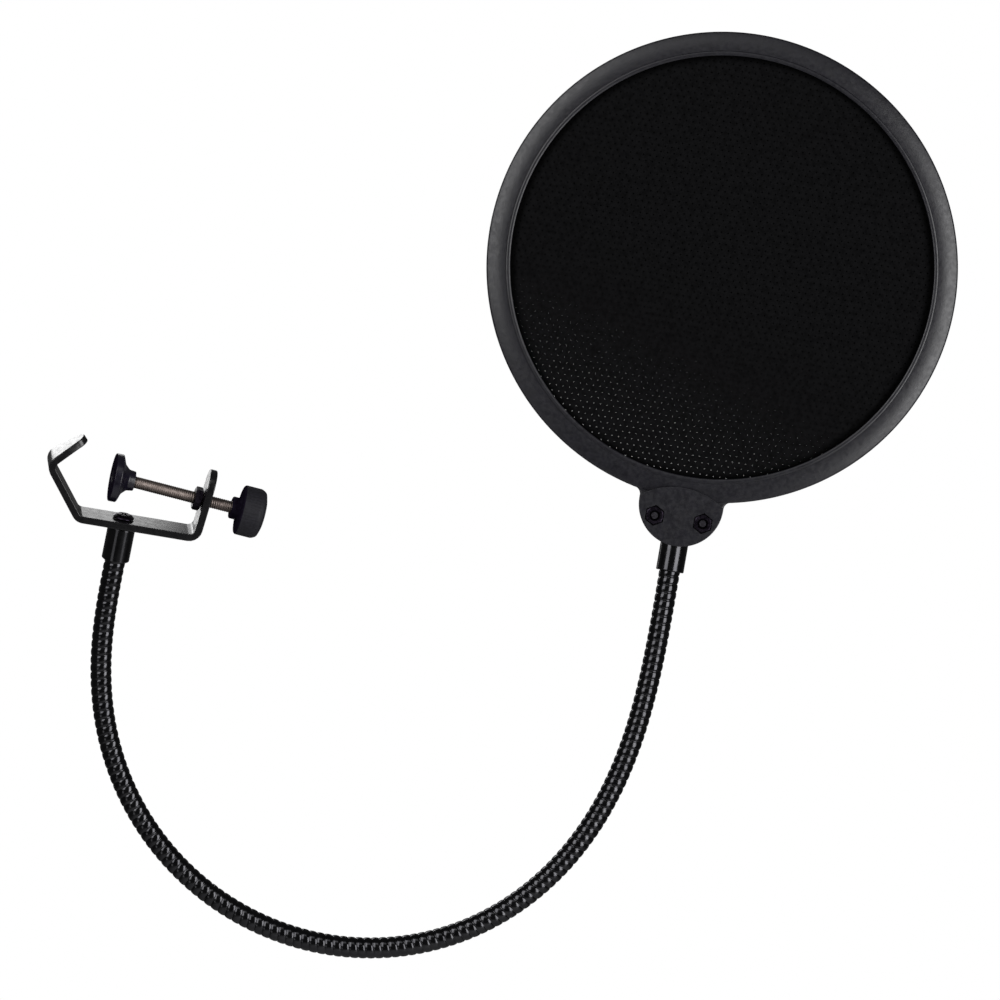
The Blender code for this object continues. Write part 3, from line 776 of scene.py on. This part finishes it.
def make_knob(looks):
    at, length = from_near_end("clamp_knob", SCREW)
    profile = [
        (0, length),
        (0.6 * KNOB_R, length - KNOB_DOME / 2),
        (0.9 * KNOB_R, length - 2 * KNOB_DOME),
        (KNOB_R, length - 5 * KNOB_DOME),
        (KNOB_R, KNOB_HUB + KNOB_DOME),
        (KNOB_R - KNOB_DOME, KNOB_HUB),
        (KNOB_HUB_R, KNOB_HUB),
        (KNOB_HUB_R, 0),
        (M4_R + GAP, 0),
        (M4_R + GAP, KNOB_BORE),
        (0, KNOB_BORE),
    ]

    def ribs(angles, radius, height):
        if radius < KNOB_R - KNOB_DOME / 2 or height < KNOB_HUB:
            return np.full(len(angles), radius)
        return radius - KNOB_RIB * (0.5 - 0.5 * np.cos(KNOB_RIBS * angles))

    steps = KNOB_RIBS * KNOB_RIB_STEPS
    knob = lathe("thumb_knob", soften(profile, KNOB_SOFT), at, steps, shape=ribs)
    add_piece(shade(knob), "screw", looks["knob"], "clamp_knob")
    second_look(knob, looks["hub"], at, KNOB_HUB + KNOB_DOME)


def make_pad(looks):
    """The flared pad; its rivet is hidden in it and stays as it is in the CAD."""
    inwards = axis_frame("clamp_pad", joint("clamp_travel")["axis"])
    at, length = from_near_end("clamp_pad", inwards)
    profile = [
        (PAD_HUB_R, length),
        (PAD_NECK_R, length - PAD_NECK),
        (PAD_FLARE_R, length - PAD_FLARE),
        (PAD_R - PAD_BEVEL, PAD_RIM + PAD_BEVEL / 2),
        (PAD_R, PAD_RIM),
        (PAD_R, 0),
        (PAD_RECESS_R, 0),
        (PAD_RECESS_R, PAD_RECESS),
        (RIVET_R + GAP, PAD_RECESS),
        (RIVET_R + GAP, PAD_RECESS + PAD_WEB),
        (PAD_SOCKET_R, PAD_RECESS + PAD_WEB),
        (PAD_SOCKET_R, length),
    ]
    pad = lathe("jaw_pad", soften(profile, PAD_SOFT, closed=True), at, closed=True)
    add_piece(shade(pad), "pad", looks["pad"], "clamp_pad")
    second_look(pad, looks["hub"], at, GAP)
    frame["nodes"]["pad_rivet"].data.materials[0] = looks["zinc"]


def make_base_screw(looks):
    at, length = from_near_end("base_screw", axis_frame("base_ferrule", -Z))
    dome = PAN_HEAD / 2
    profile = [
        (0, 0),
        (0.6 * PAN_HEAD_R, 0.15 * dome),
        (0.9 * PAN_HEAD_R, dome),
        (PAN_HEAD_R, 1.6 * dome),
        (PAN_HEAD_R, PAN_HEAD),
        (M4_R, PAN_HEAD),
        (M4_R, length),
        (0, length),
    ]
    screw = lathe("pan_screw", soften(profile, HEAD_SOFT), at)
    cut_cross(screw, at, *PAN_CROSS)
    add_piece(shade(screw), "clamp", looks["steel"], "base_screw")


def make_clamp(looks):
    make_bracket(looks)
    make_clamp_screw(looks)
    make_knob(looks)
    make_pad(looks)
    make_base_screw(looks)


# Neck and ferrules.
def make_ferrules(looks):
    """The lower ferrule, a tube under the bar, and the upper one with its stem and collar."""
    at, length = from_near_end("base_ferrule", axis_frame("base_ferrule", -Z))
    bore = NECK_INSERT + GAP
    profile = [
        (M4_R + GAP, 0),
        (FERRULE_R, 0),
        (FERRULE_R, length),
        (FERRULE_BORE, length),
        (FERRULE_BORE, length - bore),
        (M4_R + GAP, length - bore),
    ]
    profile = soften(profile, FERRULE_SOFT, closed=True)
    made = lathe("lower_ferrule", profile, at, FERRULE_STEPS, closed=True)
    add_piece(shade(made), "clamp", looks["gloss"], "base_ferrule")

    at, length = from_near_end("head_ferrule", LUG_AXIS)
    sleeve = SLEEVE_AT - COLLAR_AT
    profile = [
        (0, length - bore),
        (FERRULE_BORE, length - bore),
        (FERRULE_BORE, length),
        (FERRULE_R, length),
        (FERRULE_R, sleeve),
        (STEM_R, sleeve),
        (STEM_R, COLLAR),
        (COLLAR_R, COLLAR),
        (COLLAR_R, 0),
        (0, 0),
    ]
    made = lathe("upper_ferrule", soften(profile, SLEEVE_SOFT), at, FERRULE_STEPS)
    add_piece(shade(made), "head", looks["gloss"], "head_ferrule")


class SmoothPath:
    """A curve through points with even curvature changes and given end directions."""

    def __init__(self, points, start, end):
        self.points = np.array(points, float)
        steps = np.diff(self.points, axis=0)
        gaps = np.linalg.norm(steps, axis=1)
        self.at = np.concatenate(([0], np.cumsum(gaps)))
        count = len(self.points)
        system = np.eye(count)
        wanted = np.zeros((count, 3))
        wanted[0], wanted[-1] = start, end
        for i in range(1, count - 1):
            near, far = 1 / gaps[i - 1], 1 / gaps[i]
            system[i, i - 1 : i + 2] = near, 2 * (near + far), far
            wanted[i] = 3 * (steps[i - 1] * near**2 + steps[i] * far**2)
        self.slopes = np.linalg.solve(system, wanted)

    def __call__(self, along):
        """The centre, and unit vectors across and up, at each distance."""
        index = np.clip(np.searchsorted(self.at, along, side="right") - 1, 0, len(self.at) - 2)
        gap = (self.at[index + 1] - self.at[index])[..., None]
        t = (along - self.at[index])[..., None] / gap
        a, b = self.points[index], self.points[index + 1]
        m, n = self.slopes[index] * gap, self.slopes[index + 1] * gap
        centre = a * (1 + 2 * t) * (1 - t) ** 2 + b * (3 - 2 * t) * t**2
        centre = centre + m * t * (1 - t) ** 2 - n * t**2 * (1 - t)
        heading = 6 * t * (1 - t) * (b - a) + m * (1 - t) * (1 - 3 * t) + n * t * (3 * t - 2)
        heading = heading / np.linalg.norm(heading, axis=-1, keepdims=True)
        up = np.array(Y) - heading * heading[..., 1:2]
        up = up / np.linalg.norm(up, axis=-1, keepdims=True)
        return centre, np.cross(up, heading), up


def neck_end(node, near):
    """The middle of the neck's end face, and the direction out of it."""
    places = vertices(node)
    by_distance = np.argsort(np.linalg.norm(places - np.array(near), axis=1))
    far = places[by_distance[-NECK_END_CORNERS:]]
    middle = far.mean(0)
    normal = np.linalg.eigh(np.cov((far - middle).T))[1][:, 0]
    return middle, normal * np.sign(normal @ (middle - np.array(near)))


def neck_radius(phase, _):
    """The round wire of the winding, with a narrow groove between its turns."""
    across = NECK_WIRE * (2 * phase - 1)
    return NECK_CREST_R - NECK_GROOVE * (1 - np.sqrt(1 - across**2))


def make_neck(looks):
    """A stiff piece at each end and one round each hinge, cut from one winding."""
    bends = [j for j in frame["joints"] if j["name"].startswith("neck_bend")]
    places = [np.array(j["pos_m"]) for j in bends]
    count = len(bends) + 1
    start, out_of_start = neck_end("neck_01", places[0])
    end, out_of_end = neck_end(f"neck_{count:02d}", places[-1])
    inserts = (start - out_of_start * NECK_INSERT, end - out_of_end * NECK_INSERT)
    path = SmoothPath([start, inserts[0], *places, inserts[1], end], -out_of_start, out_of_end)
    joints_at = path.at[2:-2]
    rims = (path.at[1], path.at[-2])
    cuts = [path.at[0] + CUT_PAST]
    cuts += [(a + b) / 2 for a, b in zip([rims[0], *joints_at], [*joints_at, rims[1]])]
    cuts += [path.at[-1] - CUT_PAST]
    for k, (low, high) in enumerate(zip(cuts, cuts[1:])):
        made = wound_rod(
            f"gooseneck_{k + 1:02d}",
            path,
            low,
            high,
            neck_radius,
            NECK_PITCH,
            NECK_ROWS,
            NECK_COLUMNS,
            Matrix(),
        )
        shade(made, NECK_SHARP)
        node = f"neck_{min(k + 1, count):02d}"
        if k in (0, count):
            add_piece(made, "clamp" if k == 0 else "head", looks["gloss"], node)
            continue
        made.data.materials.append(looks["gloss"])
        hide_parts(node)
        inset = np.array((low + BLEND_INSET, high - BLEND_INSET))
        [tuple(p) for p in path(inset)[0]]
        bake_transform(made)


# Hoop and lug.
def hoop_profile():
    """A half's section: the crowned face, the rounded edge, the pocket and the bead at the opening."""
    inner, outer = CROWN_TILTS
    start = HOOP_INNER_R + 2 * BEAD_R
    end = HOOP_R - HOOP_EDGE_R * (1 - math.sin(outer))
    radius = (end - start) / (math.sin(outer) - math.sin(inner))
    tilts = [inner + (outer - inner) * i / CROWN_STEPS for i in range(CROWN_STEPS + 1)]
    top = HOOP_HALF - radius * math.cos(inner)
    middle = start - radius * math.sin(inner)
    face = [(middle + radius * math.sin(t), top + radius * math.cos(t)) for t in tilts]
    edge_at = (HOOP_R - HOOP_EDGE_R, face[-1][1] - HOOP_EDGE_R * math.cos(outer))
    edge = arc(edge_at, HOOP_EDGE_R, RIGHT_ANGLE - outer, 0, EDGE_STEP)[1:]
    crest = arc((0, 0), 1, math.pi, 0, math.pi / BEAD_STEPS)
    bead = [(HOOP_INNER_R + BEAD_R * (1 + x), HOOP_HALF + BEAD_HEIGHT * y) for x, y in crest]
    inside = [
        (HOOP_R, 2 * PARTING),
        (HOOP_R - PARTING, PARTING),
        (POCKET_R, PARTING),
        (POCKET_R, FLANGE_BACK),
        (HOOP_INNER_R, FLANGE_BACK),
    ]
    return face + edge + inside + bead[:-1]


def lug_outline():
    """The lug's round end and sides, which run into the hoop with a fillet on either side."""
    corner = LUG_R + LUG_FILLET
    top = -math.sqrt(HOOP_R**2 - corner**2)
    right = arc((corner, top - LUG_FILLET), LUG_FILLET, RIGHT_ANGLE, 2 * RIGHT_ANGLE)
    end = arc((0, -LUG_AT), LUG_R, 0, -math.pi)
    left = arc((-corner, top - LUG_FILLET), LUG_FILLET, 0, RIGHT_ANGLE)
    back = top + 2 * CUT_PAST
    return right + end + left + [(-corner, back), (corner, back)]


def arch_outline():
    """The raised face of the lug: its round end, closed by an arch towards the hoop."""
    centre = (0, -ARCH_TOP - ARCH_R)
    reach = math.asin(LUG_R / ARCH_R)
    arch = arc(centre, ARCH_R, RIGHT_ANGLE + reach, RIGHT_ANGLE - reach)
    return arch + arc((0, -LUG_AT), LUG_R, 0, -math.pi)


def clasp_space(name):
    """The space that the lug's halves leave for the ferrule's collar, stem and sleeve."""
    collar_end = COLLAR_AT + COLLAR + GAP
    end = LUG_AT + LUG_R + 2 * CUT_PAST
    profile = [
        (0, end),
        (FERRULE_R + GAP, end),
        (FERRULE_R + GAP, SLEEVE_AT - GAP),
        (STEM_R + GAP, SLEEVE_AT - GAP),
        (STEM_R + GAP, collar_end),
        (COLLAR_R + GAP, collar_end),
        (COLLAR_R + GAP, COLLAR_AT - GAP),
        (0, COLLAR_AT - GAP),
    ]
    return lathe(name, profile, LUG_AXIS)


def bolt_places(matrix):
    """Where the two lug screws are in a half's own plane."""
    local = matrix.inverted()
    for side in ("left", "right"):
        place = local @ box_centre(f"lug_screw_{side}")
        yield side, (place.x, place.y)


def make_half(name, node, matrix, seat, floor, looks):
    """One half of the hoop and the lug, with a seat of the given shape at each screw."""
    made = lathe(name, hoop_profile(), matrix, HOOP_STEPS, closed=True)
    wall = (POCKET_R + HOOP_R) / 2
    base = plate(f"{name}_lug", lug_outline(), LUG_FLOOR, LUG_STEP, matrix, LUG_SOFT)
    pocket = [(0, -CUT_PAST), (wall, -CUT_PAST), (wall, HOOP_HALF), (0, HOOP_HALF)]
    combine(base, "DIFFERENCE", lathe(f"{name}_pocket", pocket, matrix, HOOP_STEPS))
    face = plate(f"{name}_arch", arch_outline(), FLANGE_BACK + GAP, LUG_FACE, matrix, LUG_SOFT / 2)
    combine(made, "UNION", base, face)
    above = LUG_FACE + CUT_PAST
    cuts = [clasp_space(f"{name}_clasp")]
    for side, centre in bolt_places(matrix):
        hole = ring(M3_HOLE_R, 48, centre)
        cuts.append(plate(f"{name}_{side}_hole", hole, -CUT_PAST, above, matrix))
        cuts.append(plate(f"{name}_{side}_seat", seat(centre), floor, above, matrix))
    combine(made, "DIFFERENCE", *cuts)
    add_piece(shade(made), "head", looks["hoop"], node)


def even(x, y):
    return x, y


def drawn_aside(x, y):
    """The rear cloth's slip away from the lug, which dwindles towards one side."""
    along = x * math.cos(REAR_LEVEL_WAY) + y * math.sin(REAR_LEVEL_WAY)
    return x, y + REAR_SLIP * (1 - along / REAR_LEVEL_AT)


def knit_sheet(name, matrix, drawn):
    """A stretched knit: a lattice of small holes, raised a little between them."""
    work = bmesh.new()
    corner = KNIT_PITCH / math.sqrt(3)
    angles = [math.radians(30 + 60 * k) for k in range(6)]
    reach = int(KNIT_EDGE_R / (KNIT_PITCH * math.sqrt(3) / 2)) + 2
    shared = {}

    def crossing(x, y):
        key = (round(x * 1e6), round(y * 1e6))
        if key not in shared:
            shared[key] = work.verts.new((*drawn(x, y), KNIT_PUCKER))
        return shared[key]

    for row in range(-reach, reach + 1):
        for column in range(-2 * reach, 2 * reach + 1):
            x = KNIT_PITCH * (column + row / 2)
            y = KNIT_PITCH * row * math.sqrt(3) / 2
            middle = drawn(x, y)
            if math.hypot(*middle) > KNIT_EDGE_R:
                continue
            outer = [crossing(x + corner * math.cos(a), y + corner * math.sin(a)) for a in angles]
            hole = ring(KNIT_HOLE_R, 6, middle, angles[0])
            inner = [work.verts.new((*place, 0)) for place in hole]
            for k in range(6):
                work.faces.new((inner[k], outer[k], outer[k - 5], inner[k - 5]))
    made = to_object(name, work, matrix)
    thick = made.modifiers.new("thickness", "SOLIDIFY")
    thick.thickness, thick.offset = KNIT_THICK, 0
    return bake(made)


def make_screens(looks):
    level = HOOP_CENTRE.y - box_centre("front_screen").y
    for side, height, drawn in (("front", level, even), ("rear", -level, drawn_aside)):
        made = knit_sheet(f"{side}_knit", FRONT @ shift(z=height), drawn)
        shade(made, KNIT_SHARP)
        add_piece(made, "head", looks["knit"], f"{side}_screen")


def nut_seat(centre):
    return hexagon(M3_FLATS + 2 * GAP, centre)


def head_seat(centre):
    return ring(M3_HEAD_R + GAP, 48, centre)


def make_inner_ring(looks):
    near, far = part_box("spacer_ring")
    half = (far.y - near.y) / 2
    outer = POCKET_R - GAP
    profile = [(outer, half), (outer, -half), (HOOP_INNER_R, -half), (HOOP_INNER_R, half)]
    profile = soften(profile, GAP, closed=True)
    made = lathe("inner_ring", profile, FRONT, HOOP_STEPS, closed=True)
    add_piece(shade(made), "head", looks["hoop"], "spacer_ring")


def make_lug_screw(side, matrix, looks):
    """A screw through both halves of the lug and its nut in the front one."""
    at, length = from_near_end(f"lug_nut_{side}", matrix)
    nut = shade(hex_nut(f"hex_nut_{side}", M3_FLATS, length, M3_R + GAP / 6, at))
    add_piece(nut, "head", looks["steel"], f"lug_nut_{side}")
    at, length = from_near_end(f"lug_screw_{side}", matrix)
    screw = screw_rod(f"lug_bolt_{side}", M3_R, M3_PITCH, M3_THREAD, M3_HEAD / 2, length, at)
    profile = [
        (0, 0),
        (0.6 * M3_HEAD_R, 0.08 * M3_HEAD),
        (0.92 * M3_HEAD_R, 0.45 * M3_HEAD),
        (M3_HEAD_R, 0.7 * M3_HEAD),
        (M3_HEAD_R, M3_HEAD),
        (0, M3_HEAD),
    ]
    head = lathe(f"cap_{side}", soften(profile, HEAD_SOFT), at)
    cut_cross(head, at, *M3_CROSS)
    combine(screw, "UNION", head)
    add_piece(shade(screw), "head", looks["bolt"], f"lug_screw_{side}")


def make_head(looks):
    make_half("front_ring", "front_hoop", FRONT, nut_seat, NUT_SEAT, looks)
    make_half("rear_ring", "rear_hoop", REAR, head_seat, HEAD_SEAT, looks)
    make_inner_ring(looks)
    make_screens(looks)
    for side, (x, y) in bolt_places(FRONT):
        make_lug_screw(side, FRONT @ shift(x, y), looks)


def main():
    bpy.context.scene.view_settings.view_transform = "Standard"
    make_camera()
    make_world()
    make_lights()
    make_floor()
    looks = make_looks()
    make_clamp(looks)
    make_ferrules(looks)
    make_neck(looks)
    make_head(looks)


main()
